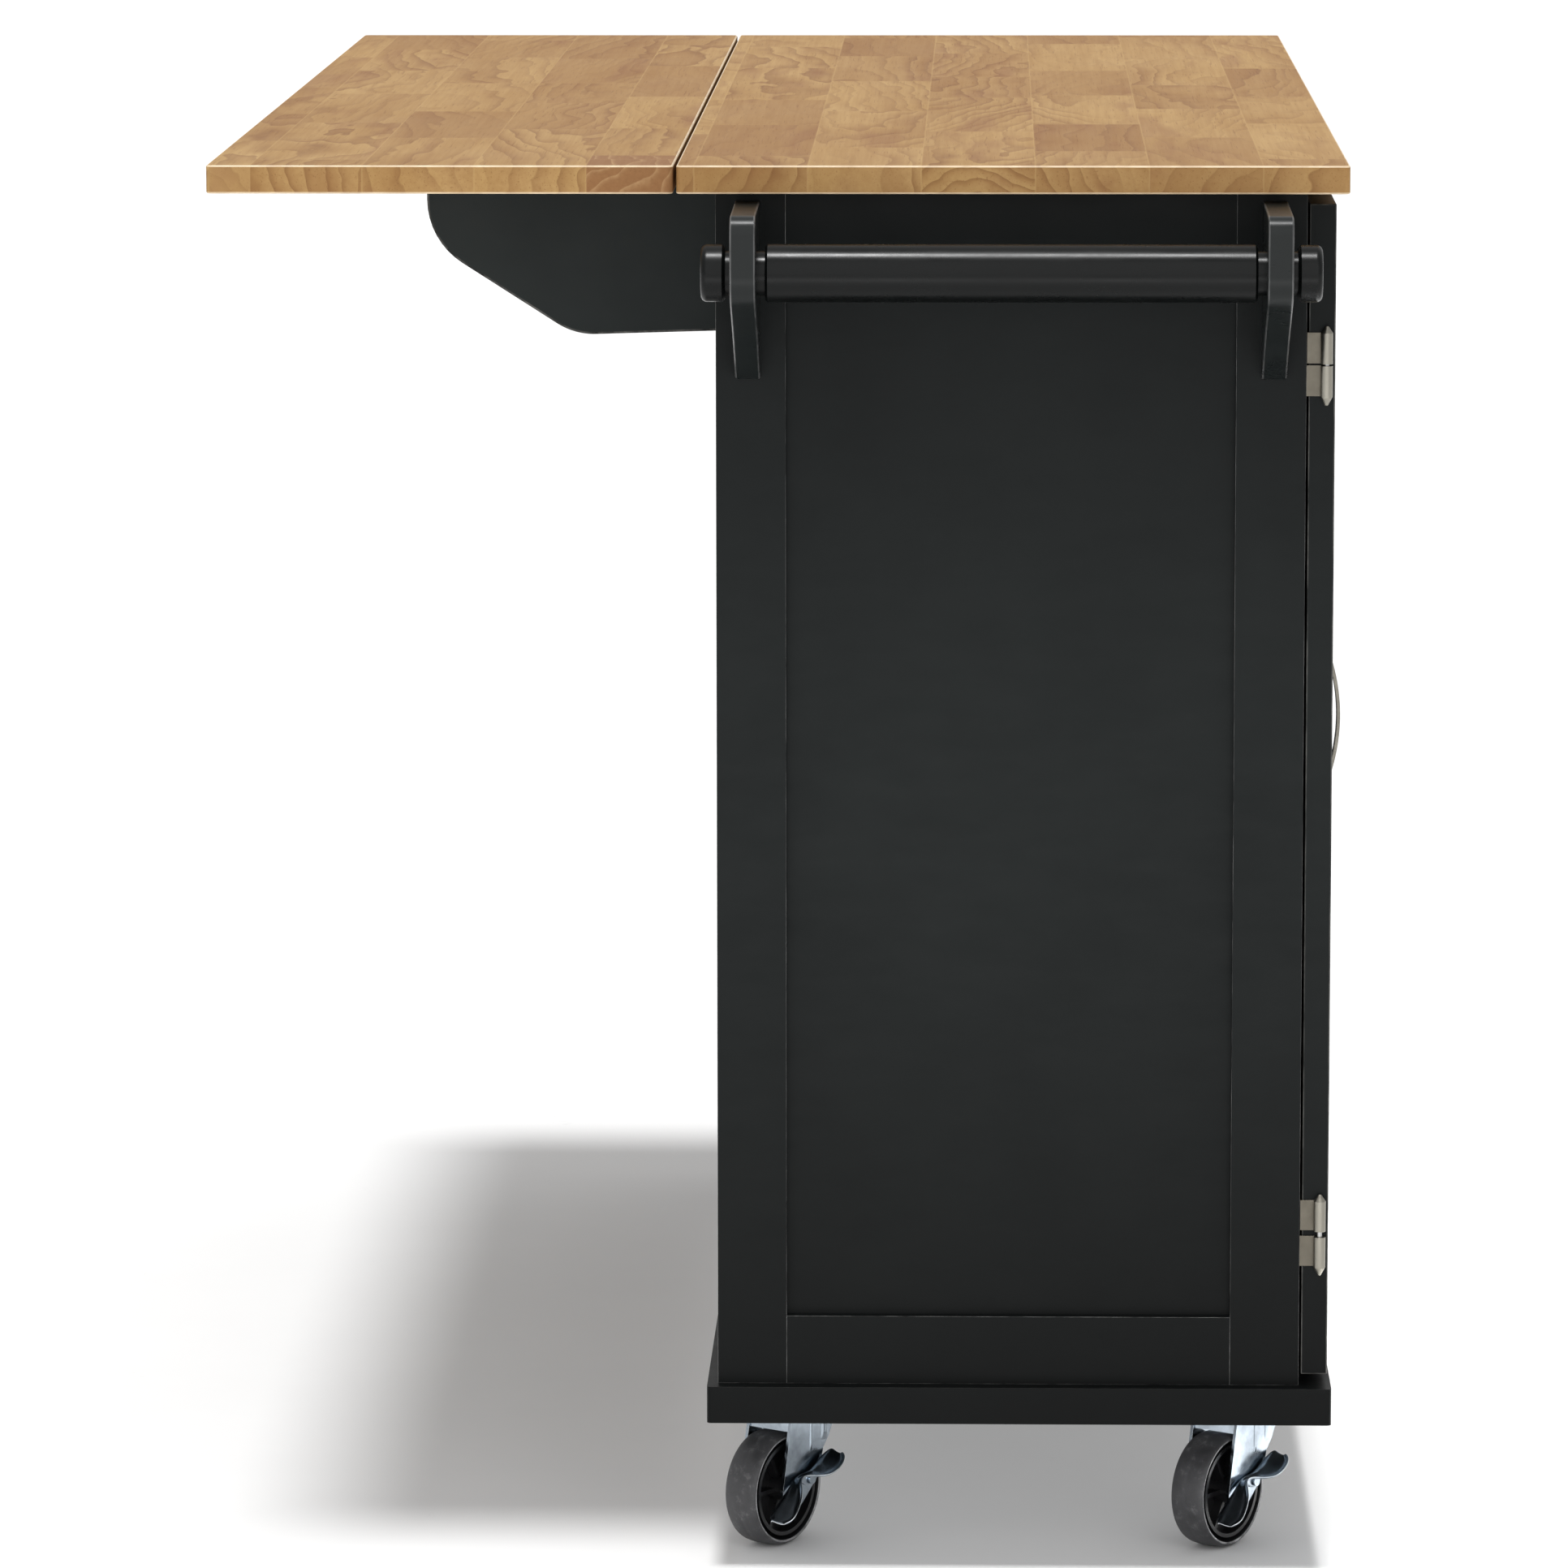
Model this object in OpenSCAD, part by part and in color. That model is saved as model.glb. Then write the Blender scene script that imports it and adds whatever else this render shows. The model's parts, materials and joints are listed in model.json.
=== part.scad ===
// Rolling butcher block table: fixed worktop, raised drop leaf on swing-out wings,
// cabinet with two doors and a bank of drawers, towel bar and four braked casters.
// Millimetres. +Z is up and the floor is z = 0. The long side runs along X.
// The parts are drawn around the cabinet's centre, and placed() moves them so that
// the origin is the centre of the whole object's footprint.

/* [Worktop] */
// Length of the worktop and of the leaf, along X
top_length = 1359; // [1300:1:1400]
// Depth of the fixed worktop, along Y
top_depth = 426; // [415:1:430]
// Depth of the leaf, along Y
leaf_depth = 296; // [270:1:320]
// Thickness of the wooden tops
top_thick = 18; // [16:1:24]
// Gap between the worktop and the leaf
leaf_gap = 2; // [1.5:0.1:3]
// Height of the worktop's upper face above the floor
worktop_z = 914; // [900:1:930]
// Radius of the tops' upright corners
top_corner = 4; // [2:0.5:8]

/* [Cabinet] */
// Length of the cabinet body, along X
cabinet_w = 1309; // [1280:1:1320]
// Depth of the cabinet body, along Y
cabinet_d = 376; // [370:1:380]
// Thickness of the wooden boards
board = 18; // [15:1:19]
// Width of the side frames' stiles and rails
stile_w = 44.5; // [40:0.5:60]
// Thickness of the base board
base_thick = 24; // [20:1:30]
// Height of the base board's underside above the floor
base_z = 98; // [96:1:100]
// Distance from the cabinet's middle to each divider's middle
divider_x = 253; // [240:1:280]

/* [Doors and drawers] */
// Thickness of the doors and the drawer fronts
front_thick = 17; // [15:0.5:19]
// Gap around and between the fronts
front_gap = 3; // [2:0.5:4]
// How far the arched pulls stand out
pull_rise = 20; // [18:1:26]
// Length of an arched pull
pull_length = 140; // [110:1:160]
// Number of drawers in the middle
drawer_count = 4; // [4:1:4]

/* [Support wings] */
// How far a wing reaches out from the cabinet's back
wing_reach = 195.5; // [190:0.5:196]
// Height of a wing
wing_h = 109; // [100:1:110]
// Distance from the cabinet's middle to each wing's hinge
wing_x = 447.8; // [440:0.1:450]

/* [Towel bar] */
// Diameter of the towel bar
bar_d = 36.6; // [30:0.1:38]
// Diameter of the bar's necks, which turn in the brackets
neck_d = 28; // [20:1:29]
// Distance of the bar's axis from the cabinet's side
bar_out = 82; // [75:1:86]
// Height of the bar's axis above the floor
bar_z = 851; // [845:1:855]

/* [Casters] */
// Diameter of the wheels
wheel_d = 76; // [74:0.2:76.2]
// Width of the wheels
wheel_w = 25; // [22:1:26]
// Distance from the swivel axis to the wheel's axle
trail = 26; // [20:1:28]
// Direction in which the casters trail, from +X towards +Y
caster_turn = 144.5; // [0:0.5:359]

/* [Hidden] */
$fn = 48;
eps = 0.05;                 // space left between boards that are separate pieces
pin_fit = 0.05;             // radial clearance of a pin in its hole
safe = 0.3;                 // space between pieces that move past each other

// Heights
top_z = worktop_z - top_thick;               // underside of the tops, and the cabinet's height
base_top = base_z + base_thick;
fronts_z0 = base_top + 7;                    // lower edge of the doors and drawers
fronts_z1 = top_z - 8;                       // upper edge of the doors and drawers
shelf_z = 500;                               // underside of the shelves

// Places along X and Y, from the cabinet's centre
half_w = cabinet_w / 2;
half_d = cabinet_d / 2;
frame_in_x = half_w - board;                 // inner face of the side frames
top_y0 = -half_d - 26;                       // front edge of the worktop
top_y1 = top_y0 + top_depth;
leaf_y0 = top_y1 + leaf_gap;
leaf_y1 = leaf_y0 + leaf_depth;
front_back_y = -half_d - 1.5;                 // back face of the doors and drawer fronts
front_y = front_back_y - front_thick;        // their front face
base_x = half_w + 12;
base_y0 = -half_d - 21;
base_y1 = half_d + 7;
back_y = half_d - board;                     // inner face of the back

// Door and drawer sizes
door_x0 = half_w - 1.5;                      // hinge edge of a door
door_x1 = divider_x;                         // free edge of a door
drawer_half = divider_x - front_gap;
drawer_pitch = (fronts_z1 - fronts_z0 + front_gap) / drawer_count;
drawer_h = drawer_pitch - front_gap;
drawer_depth = 340;                          // length of a drawer box behind its front
drawer_side = 12;                            // thickness of a drawer's sides
drawer_box_half = divider_x - board / 2 - 5;
drawer_box_h = 150;
drawer_floor = 6;
groove_d = 6;                                // groove in a drawer's side, for its runner
groove_h = 14;

// Arched pulls: a strap bent to a circle
strap_t = 2.5;
strap_w = 11;
pull_r = (pow(pull_length / 2, 2) + pow(pull_rise, 2)) / (2 * pull_rise);
door_pull_x = door_x1 + 35;

// Hinges of the doors
door_axis_x = half_w + 3;
door_axis_y = -half_d - 12.8;
door_knuckle_r = 3.9;
door_pin_r = 1.6;
door_half_h = 19.8;                          // height of each half of a hinge
door_hinge_z = [[785.3, 1.1], [220.7, 3.6]]; // top of the fixed half, and the gap above it
plate_t = 1.2;
plate_leg = 25;

// Hinges of the wings and the leaf
knuckle_r = 3;
pin_r = 1.5;
butt_t = 1.5;
wing_axis_y = half_d + 3.4;
wing_hinge_z0 = 800;
wing_hinge_h = 76;
wing_t = 18;
wing_face = knuckle_r + 0.4;                 // from the hinge axis to the wing's face
leaf_axis_y = (top_y1 + leaf_y0) / 2;
leaf_axis_z = top_z - 3.5;
leaf_hinge_x = [-540, 0, 540];
leaf_hinge_w = 64;
leaf_plate = 24;                             // from the hinge axis to a plate's edge

// Towel bar
bracket_t = 16;
bracket_in = 159.5;
bar_half = bracket_in - 5.5;
knob_r = 18;
knob_w = 15.5;
knob_round = 4;
bar_x = -half_w - bar_out;

// Casters
wheel_r = wheel_d / 2;
caster_x = 568;
caster_y = 146;
base_mid_y = (base_y0 + base_y1) / 2;
fork_half = 18;                              // from the wheel's middle to a fork leg's outer face
fork_t = 2.2;
crown_z = 84;                                // upper face of the fork's crown
crown_a = [-16, 30];                         // back and front of the crown
axle_r = 4;
lobe_r = 13;
kingpin_r = 5;
plate_half = 30;                             // half the mounting plate's side
plate_hole = 22;                             // from the swivel axis to each screw, along X and Y
screw_r = 2.6;
pivot = [11, 43];                            // brake pivot, along the trail and up
pivot_r = 2.5;
rocker_t = 1.5;
rocker_in = fork_half + 0.4;

// Whole object's box, whose footprint's middle is the origin
bracket_reach = 118;
x_min = -half_w - bracket_reach;
x_max = top_length / 2;
y_min = front_y - pull_rise;
y_max = leaf_y1;

module placed() {
    translate([-(x_min + x_max) / 2, -(y_min + y_max) / 2, 0]) children();
}

// A box between two corners
module block(a, b) {
    translate(a) cube(b - a);
}

// Draws its children at +X and mirrored at -X
module both_sides() {
    children();
    mirror([1, 0, 0]) children();
}

// A cylinder along X or Y, centred on its middle
module rod_x(r, h) {
    rotate([0, 90, 0]) cylinder(r = r, h = h, center = true);
}
module rod_y(r, h) {
    rotate([90, 0, 0]) cylinder(r = r, h = h, center = true);
}

// Points of an arc about c, from angle a0 to a1
function arc(c, r, a0, a1, n = 8) =
    [for (i = [0:n]) let (a = a0 + (a1 - a0) * i / n) c + r * [cos(a), sin(a)]];

// A flat slab whose upright corners are rounded
module slab(x0, x1, y0, y1, z0, h, r) {
    block([x0 + r, y0, z0], [x1 - r, y1, z0 + h]);
    block([x0, y0 + r, z0], [x1, y1 - r, z0 + h]);
    for (x = [x0 + r, x1 - r], y = [y0 + r, y1 - r])
        translate([x, y, z0]) cylinder(r = r, h = h);
}

// ---- Tops ----
module top_panel() {
    color("burlywood") placed()
        slab(-top_length / 2, top_length / 2, top_y0, top_y1, top_z, top_thick, top_corner);
}

module leaf_panel() {
    color("burlywood") placed()
        slab(-top_length / 2, top_length / 2, leaf_y0, leaf_y1, top_z, top_thick, top_corner);
}

// ---- Cabinet ----
panel_t = 6;                                 // thickness of the framed panels
panel_recess = 8;                            // how far a side panel lies behind its frame
panel_tongue = 6;                            // how far a panel's edge enters its groove

module base_panel() {
    color("#25292b") placed() difference() {
        slab(-base_x, base_x, base_y0, base_y1, base_z, base_thick, 3);
        at_casters() for (x = [-plate_hole, plate_hole], y = [-plate_hole, plate_hole])
            translate([x, y, base_z - 1]) cylinder(r = screw_r + pin_fit, h = 16);
    }
}

// One side's stiles and rails, with the groove that holds the panel
module side_frame() {
    x1 = half_w;
    z0 = base_top + eps;
    z1 = top_z - eps;
    groove_in = stile_w - panel_tongue - 1;
    difference() {
        union() {
            for (y = [-half_d, half_d - stile_w])
                block([x1 - board, y, z0], [x1, y + stile_w, z1]);
            for (z = [z0, z1 - stile_w])
                block([x1 - board, -half_d + stile_w + eps, z], [x1, half_d - stile_w - eps, z + stile_w]);
        }
        block([x1 - panel_recess - panel_t - eps, -half_d + groove_in, z0 + groove_in],
              [x1 - panel_recess + eps, half_d - groove_in, z1 - groove_in]);
        for (y = shelf_pin_y)
            translate([x1 - board, y, shelf_z - 3]) rod_x(shelf_pin_r + pin_fit, 2 * shelf_pin_in);
    }
}

module side_frames() {
    color("#2e3130") placed() both_sides() side_frame();
}

module side_panels() {
    x1 = half_w - panel_recess;
    color("#2b2f2f") placed() both_sides()
        block([x1 - panel_t, -half_d + stile_w - panel_tongue, base_top + stile_w - panel_tongue],
              [x1, half_d - stile_w + panel_tongue, top_z - stile_w + panel_tongue]);
}

rail_h = 110;                                // height of the rail that carries the wings

module back_top_rail() {
    color("#2b2f2f") placed()
        block([-frame_in_x + eps, back_y, top_z - rail_h], [frame_in_x - eps, half_d, top_z - eps]);
}

module back_panel() {
    color("#2b2f2f") placed()
        block([-frame_in_x + eps, back_y, base_top + eps],
              [frame_in_x - eps, back_y + panel_t, top_z - rail_h - eps]);
}

module dividers() {
    color("#2b2f2f") placed() both_sides() difference() {
        block([divider_x - board / 2, -half_d, base_top + eps],
              [divider_x + board / 2, back_y - eps, top_z - eps]);
        for (y = shelf_pin_y)
            translate([divider_x + board / 2, y, shelf_z - 3])
                rod_x(shelf_pin_r + pin_fit, 2 * shelf_pin_in);
    }
}

module front_stretchers() {
    in_x = divider_x - board / 2 - eps;
    out_x = divider_x + board / 2 + eps;
    z = [top_z - board, top_z - eps];
    color("#2b2f2f") placed() {
        block([-in_x, -half_d, z[0]], [in_x, -half_d + board, z[1]]);
        both_sides() block([out_x, -half_d, z[0]], [frame_in_x - eps, -half_d + board, z[1]]);
    }
}

// ---- Shelves ----
shelf_pin_r = 2.5;
shelf_pin_in = 9;                            // how far a shelf pin enters the board
shelf_pin_y = [-half_d + 22, half_d - 30];

module shelves() {
    color("#2b2f2f") placed() both_sides()
        block([divider_x + board / 2 + 0.5, -half_d + 20, shelf_z],
              [frame_in_x - 0.5, back_y - 2, shelf_z + 16]);
}

module shelf_pins() {
    color("silver") placed() both_sides() for (y = shelf_pin_y) {
        translate([frame_in_x, y, shelf_z - 3]) rod_x(shelf_pin_r, 2 * shelf_pin_in - 1);
        translate([divider_x + board / 2, y, shelf_z - 3]) rod_x(shelf_pin_r, 2 * shelf_pin_in - 1);
    }
}

// ---- Arched pull ----
// Lies along X, feet on y = 0, and rises towards -Y
module arched_pull() {
    intersection() {
        translate([0, pull_r - pull_rise, -strap_w / 2]) rotate([0, 0, -135])
            rotate_extrude(angle = 90, $fn = 96)
                translate([pull_r - strap_t, 0]) square([strap_t, strap_w]);
        block([-pull_length, -pull_rise - 1, -strap_w], [pull_length, 0, strap_w]);
    }
}

// ---- Doors: drawn on the right, at +X, and mirrored for the left ----
door_stile = 62;
door_rail = 70;
door_recess = 7;                             // how far the door's panel lies behind its frame

module on_side(s) {
    if (s == "right") children();
    else mirror([1, 0, 0]) children();
}

module door_frame(s) {
    color("#313332") placed() on_side(s) difference() {
        union() {
            for (x = [door_x1, door_x0 - door_stile])
                block([x, front_y, fronts_z0], [x + door_stile, front_back_y, fronts_z1]);
            for (z = [fronts_z0, fronts_z1 - door_rail])
                block([door_x1 + door_stile + eps, front_y, z],
                      [door_x0 - door_stile - eps, front_back_y, z + door_rail]);
        }
        block([door_x1 + door_stile - panel_tongue - 1, front_y + door_recess - eps,
               fronts_z0 + door_rail - panel_tongue - 1],
              [door_x0 - door_stile + panel_tongue + 1, front_y + door_recess + panel_t + eps,
               fronts_z1 - door_rail + panel_tongue + 1]);
    }
}

module door_panel(s) {
    color("#2e3130") placed() on_side(s)
        block([door_x1 + door_stile - panel_tongue, front_y + door_recess,
               fronts_z0 + door_rail - panel_tongue],
              [door_x0 - door_stile + panel_tongue, front_y + door_recess + panel_t,
               fronts_z1 - door_rail + panel_tongue]);
}

module door_pull(s) {
    color("silver") placed() on_side(s)
        translate([door_pull_x, front_y, (fronts_z0 + fronts_z1) / 2]) rotate([0, 90, 0]) arched_pull();
}

// The door's half of each hinge: knuckle with a pointed cap, and a plate folded behind the door
module door_hinge_plates(s) {
    color("gray") placed() on_side(s) for (h = door_hinge_z) {
        z = h[0] + h[1];
        difference() {
            union() {
                translate([door_axis_x, door_axis_y, z]) cylinder(r = door_knuckle_r, h = door_half_h);
                translate([door_axis_x, door_axis_y, z + door_half_h])
                    cylinder(r1 = door_knuckle_r, r2 = 1, h = 4.4);
                block([door_x0 + eps, door_axis_y, z],
                      [door_x0 + plate_t, front_back_y + plate_t, z + door_half_h]);
                block([door_x0 - plate_leg, front_back_y + eps, z],
                      [door_x0 + plate_t, front_back_y + plate_t, z + door_half_h]);
            }
            translate([door_axis_x, door_axis_y, z - 1])
                cylinder(r = door_pin_r + pin_fit, h = door_half_h - 1);
        }
    }
}

// The cabinet's half of each hinge, one under each half on the doors
module door_hinge_fixed_plates() {
    x0 = door_x0 + safe;
    color("gray") placed() both_sides() for (h = door_hinge_z) {
        z = h[0] - door_half_h;
        difference() {
            union() {
                translate([door_axis_x, door_axis_y, z]) cylinder(r = door_knuckle_r, h = door_half_h);
                translate([door_axis_x, door_axis_y, z - 5.6])
                    cylinder(r1 = 1, r2 = door_knuckle_r, h = 5.6);
                block([x0, door_axis_y, z], [x0 + plate_t, -half_d - eps, z + door_half_h]);
                block([door_x0 - plate_leg, -half_d - plate_t, z],
                      [x0 + plate_t, -half_d - eps, z + door_half_h]);
            }
            translate([door_axis_x, door_axis_y, z + 2])
                cylinder(r = door_pin_r + pin_fit, h = door_half_h);
        }
    }
}

// ---- Drawers, numbered from the top ----
function drawer_z(k) = fronts_z1 - k * drawer_pitch + front_gap;

module drawer_front(k) {
    z = drawer_z(k);
    border = 34;
    color("#2e3130") placed() difference() {
        block([-drawer_half, front_y, z], [drawer_half, front_back_y, z + drawer_h]);
        block([-drawer_half + border, front_y - 1, z + border],
              [drawer_half - border, front_y + 4, z + drawer_h - border]);
    }
}

module drawer_box(k) {
    z = drawer_z(k) + 15;
    y0 = front_back_y + eps;
    y1 = y0 + drawer_depth;
    in_x = drawer_box_half - drawer_side - eps;
    groove_z = drawer_z(k) + drawer_h / 2;
    color("wheat") placed() {
        both_sides() difference() {
            block([drawer_box_half - drawer_side, y0, z], [drawer_box_half, y1, z + drawer_box_h]);
            block([drawer_box_half - groove_d, y0 + 20, groove_z - groove_h / 2],
                  [drawer_box_half + 1, y1 + 1, groove_z + groove_h / 2]);
        }
        block([-in_x, y1 - drawer_side, z], [in_x, y1, z + drawer_box_h]);
        block([-in_x, y0, z + 8], [in_x, y1 - drawer_side - eps, z + 8 + drawer_floor]);
    }
}

module drawer_pull(k) {
    color("silver") placed() translate([0, front_y + 4, drawer_z(k) + drawer_h / 2]) arched_pull();
}

// Wooden strips on the dividers that run in the drawers' grooves
module drawer_runners() {
    color("wheat") placed() both_sides() for (k = [1:drawer_count])
        translate([0, 0, drawer_z(k) + drawer_h / 2])
            block([drawer_box_half - groove_d + 0.5, -half_d + 25, 0.5 - groove_h / 2],
                  [divider_x - board / 2 - eps, back_y - 12, groove_h / 2 - 0.5]);
}

// ---- Support wings: drawn on the right, at +X, and mirrored for the left ----
// Side outline, from the cabinet's back outwards and down from the leaf's underside
module wing_outline() {
    tip_r = 50;
    heel_r = 45;
    slope = -57.3;                           // direction in which the slanted edge faces
    tip = [wing_reach - tip_r, -20];
    heel = [86, heel_r - wing_h];
    polygon(concat([[0.5, 0], [wing_reach, 0]],
        arc(tip, tip_r, 0, slope), arc(heel, heel_r, slope, -90), [[0.5, 2.5 - wing_h]]));
}

module wing(s) {
    x = wing_x + wing_face;
    color("#2d2f30") placed() on_side(s) translate([x, half_d + 0.5, top_z - safe])
        rotate([90, 0, 90]) linear_extrude(wing_t) wing_outline();
}

// Heights of a butt hinge's three knuckles
function knuckle_span(total, i) = [i * (total + 0.5) / 3, (i + 1) * (total + 0.5) / 3 - 0.5];

// Moving half of a wing's hinge: the middle knuckle and the plate on the wing
module wing_hinge_plate(s) {
    span = knuckle_span(wing_hinge_h, 1);
    color("gray") placed() on_side(s) translate([wing_x, wing_axis_y, wing_hinge_z0]) difference() {
        union() {
            translate([0, 0, span[0]]) cylinder(r = knuckle_r, h = span[1] - span[0]);
            block([wing_face - butt_t, 3.6, 0], [wing_face - eps, leaf_plate, wing_hinge_h]);
            block([wing_face - butt_t, 0, span[0]], [wing_face - eps, 4, span[1]]);
        }
        translate([0, 0, -1]) cylinder(r = pin_r + pin_fit, h = wing_hinge_h + 2);
    }
}

// Fixed half of a wing's hinge, flat on the cabinet's back towards the middle
module wing_fixed_plate() {
    translate([wing_x, wing_axis_y, wing_hinge_z0]) difference() {
        union() {
            for (i = [0, 2])
                translate([0, 0, knuckle_span(wing_hinge_h, i)[0]])
                    cylinder(r = knuckle_r, h = (wing_hinge_h + 0.5) / 3 - 0.5);
            block([-leaf_plate, -wing_face + eps, 0], [-3.6, -wing_face + butt_t, wing_hinge_h]);
            for (i = [0, 2])
                block([-4, -wing_face + eps, knuckle_span(wing_hinge_h, i)[0]],
                      [0, -wing_face + butt_t, knuckle_span(wing_hinge_h, i)[1]]);
        }
        translate([0, 0, -1]) cylinder(r = pin_r + pin_fit, h = wing_hinge_h + 2);
    }
}

// ---- Leaf hinges: plates under the joint, on an axis along X ----
// One plate, on the side of +Y, with the knuckles whose numbers are given
module leaf_plate_half(knuckles) {
    rise = top_z - leaf_axis_z;
    difference() {
        union() {
            block([0, 3.7, rise - butt_t], [leaf_hinge_w, leaf_plate, rise - eps]);
            for (i = knuckles) {
                span = knuckle_span(leaf_hinge_w, i);
                translate([(span[0] + span[1]) / 2, 0, 0]) rod_x(knuckle_r, span[1] - span[0]);
                block([span[0], 0, knuckle_r - butt_t], [span[1], 1.6, knuckle_r]);
                block([span[0], 1, rise - butt_t], [span[1], 4, rise - eps]);
            }
        }
        rod_x(pin_r + pin_fit, 3 * leaf_hinge_w);
    }
}

module at_leaf_hinges() {
    for (x = leaf_hinge_x)
        translate([x - leaf_hinge_w / 2, leaf_axis_y, leaf_axis_z]) children();
}

module leaf_hinge_plates() {
    color("gray") placed() at_leaf_hinges() leaf_plate_half([1]);
}

module butt_hinge_fixed_plates() {
    color("gray") placed() {
        at_leaf_hinges() mirror([0, 1, 0]) leaf_plate_half([0, 2]);
        both_sides() wing_fixed_plate();
    }
}

module hinge_pins() {
    color("lightgray") placed() {
        at_leaf_hinges() translate([leaf_hinge_w / 2, 0, 0]) rod_x(pin_r, leaf_hinge_w - 1);
        both_sides() {
            translate([wing_x, wing_axis_y, wing_hinge_z0 + 0.5]) cylinder(r = pin_r, h = wing_hinge_h - 1);
            for (h = door_hinge_z)
                translate([door_axis_x, door_axis_y, h[0] - door_half_h + 2 + eps])
                    cylinder(r = door_pin_r, h = 2 * door_half_h + h[1] - 5);
        }
    }
}

// ---- Towel bar on the left side ----
// Side outline of a bracket: outwards from the cabinet's side, and height above the floor
module bracket_outline() {
    under = 776;                             // lower end of the bracket, at the cabinet's side
    round_r = 11.5;
    chin_r = 22;
    polygon(concat([[eps, under], [6, under + 1.5], [30, under + 17], [45, under + 26.2], [63, under + 36]],
        arc([bracket_reach - chin_r, bar_z + 0.9], chin_r, -65.9, 0),
        arc([bracket_reach - round_r, 889 - round_r], round_r, 0, 90), [[eps, 890]]));
}

module towel_brackets() {
    color("#2d2f30") placed() for (y = [-bracket_in - bracket_t, bracket_in]) difference() {
        translate([-half_w, y + bracket_t, 0]) rotate([90, 0, 0]) mirror([1, 0, 0])
            linear_extrude(bracket_t) bracket_outline();
        translate([bar_x, y + bracket_t / 2, bar_z]) rod_y(neck_d / 2 + 0.04, bracket_t + 4);
    }
}

// Half the bar's outline, from its middle out to the end of a knob
function bar_half_outline() = concat(
    [[0, 0], [bar_d / 2, 0], [bar_d / 2, bar_half - 1.5], [bar_d / 2 - 1.5, bar_half],
     [neck_d / 2 - 0.04, bar_half], [neck_d / 2 - 0.04, knob_y0]],
    [[knob_r - 2, knob_y0], [knob_r, knob_y0 + 2]],
    arc([knob_r - knob_round, knob_y0 + knob_w - knob_round], knob_round, 0, 90),
    [[0, knob_y0 + knob_w]]);
knob_y0 = bracket_in + bracket_t + 3.5;

module towel_bar() {
    color("#2d2f30") placed() translate([bar_x, 0, bar_z]) rotate([90, 0, 0]) {
        rotate_extrude() polygon(bar_half_outline());
        mirror([0, 0, 1]) rotate_extrude() polygon(bar_half_outline());
    }
}

// ---- Casters ----
function caster_at(k) =
    [(k <= 2 ? -caster_x : caster_x), base_mid_y + (k % 2 == 1 ? caster_y : -caster_y), 0];

// All four swivel axes, without turning
module at_casters() {
    for (k = [1:4]) translate(caster_at(k)) children();
}

// One caster's own frame: x along the trail, y along the axle, origin below the swivel axis
module on_caster(k) {
    translate(caster_at(k)) rotate([0, 0, caster_turn]) children();
}

// Mounting plates with the upper ball race and the riveted kingpin
module caster_plates() {
    plate_z = base_z - eps - 2.5;
    color("lightsteelblue") placed() at_casters() {
        difference() {
            slab(-plate_half, plate_half, -plate_half, plate_half, plate_z, 2.5, 5);
            for (x = [-plate_hole, plate_hole], y = [-plate_hole, plate_hole])
                translate([x, y, plate_z - 1]) cylinder(r = screw_r + pin_fit, h = 5);
        }
        translate([0, 0, 88.5]) cylinder(r1 = 20.5, r2 = 22, h = plate_z - 88.4);
        translate([0, 0, 78]) cylinder(r = kingpin_r, h = 12);
        translate([0, 0, 77]) cylinder(r1 = 6.5, r2 = 8, h = 3);
    }
}

module caster_screws() {
    color("silver") placed() at_casters()
        for (x = [-plate_hole, plate_hole], y = [-plate_hole, plate_hole]) translate([x, y, 0]) {
            translate([0, 0, base_z - 2.5 - 2 * eps - 3]) cylinder(r1 = 3.6, r2 = 4.8, h = 3);
            translate([0, 0, base_z - 3]) cylinder(r = screw_r, h = 16);
        }
}

// Side outline of a fork leg: trail direction and height
module leg_outline() {
    polygon(concat([[crown_a[0], crown_z], [crown_a[0], 77], [-11, 68], [-5, 61], [-2, 50], [-1.5, 45]],
        arc([trail, wheel_r], lobe_r, 225, 369, 12), [[crown_a[1], crown_z]]));
}

module fork(k) {
    web = 2.5;
    color("lightsteelblue") placed() on_caster(k) {
        difference() {
            union() {
                for (y = [-fork_half + fork_t, fork_half])
                    translate([0, y, 0]) rotate([90, 0, 0]) linear_extrude(fork_t) leg_outline();
                block([crown_a[0], -fork_half, crown_z - web], [crown_a[1], fork_half, crown_z]);
                block([crown_a[1] - 2, -fork_half, 77.2], [crown_a[1], fork_half, crown_z]);
                translate([0, 0, crown_z - 0.1]) cylinder(r = 19.5, h = 4.1);
            }
            translate([0, 0, crown_z - 4]) cylinder(r = kingpin_r + pin_fit, h = 9);
        }
        translate([trail, 0, wheel_r]) rod_y(axle_r, 2 * fork_half + 2);
        for (y = [-1, 1]) translate([trail, y * (fork_half + 0.5), wheel_r]) rod_y(4.6, 2);
        translate([pivot[0], fork_half + 1.2, pivot[1]]) rod_y(pivot_r, 3);
        translate([pivot[0], fork_half + 2.9, pivot[1]]) rod_y(3.4, 1.2);
    }
}

rim_r = wheel_r - 7;                         // outside of the hub, inside of the tyre
boss_half = wheel_w / 2 + 2;
shoulder_r = 5;                              // rounding of the tyre's shoulders

module hub(k) {
    color("#15181a") placed() on_caster(k) translate([trail, 0, wheel_r]) {
        rotate([90, 0, 0]) rotate_extrude() {
            translate([rim_r - 2.5, -11.3]) square([2.5, 22.6]);
            translate([7, -1.5]) square([rim_r - 8.5, 3]);
            translate([axle_r + pin_fit, -boss_half]) square([4.5, 2 * boss_half]);
        }
        for (a = [0:60:300]) rotate([0, a, 0]) block([8, -8, -1.4], [rim_r - 2, 8, 1.4]);
    }
}

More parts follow.
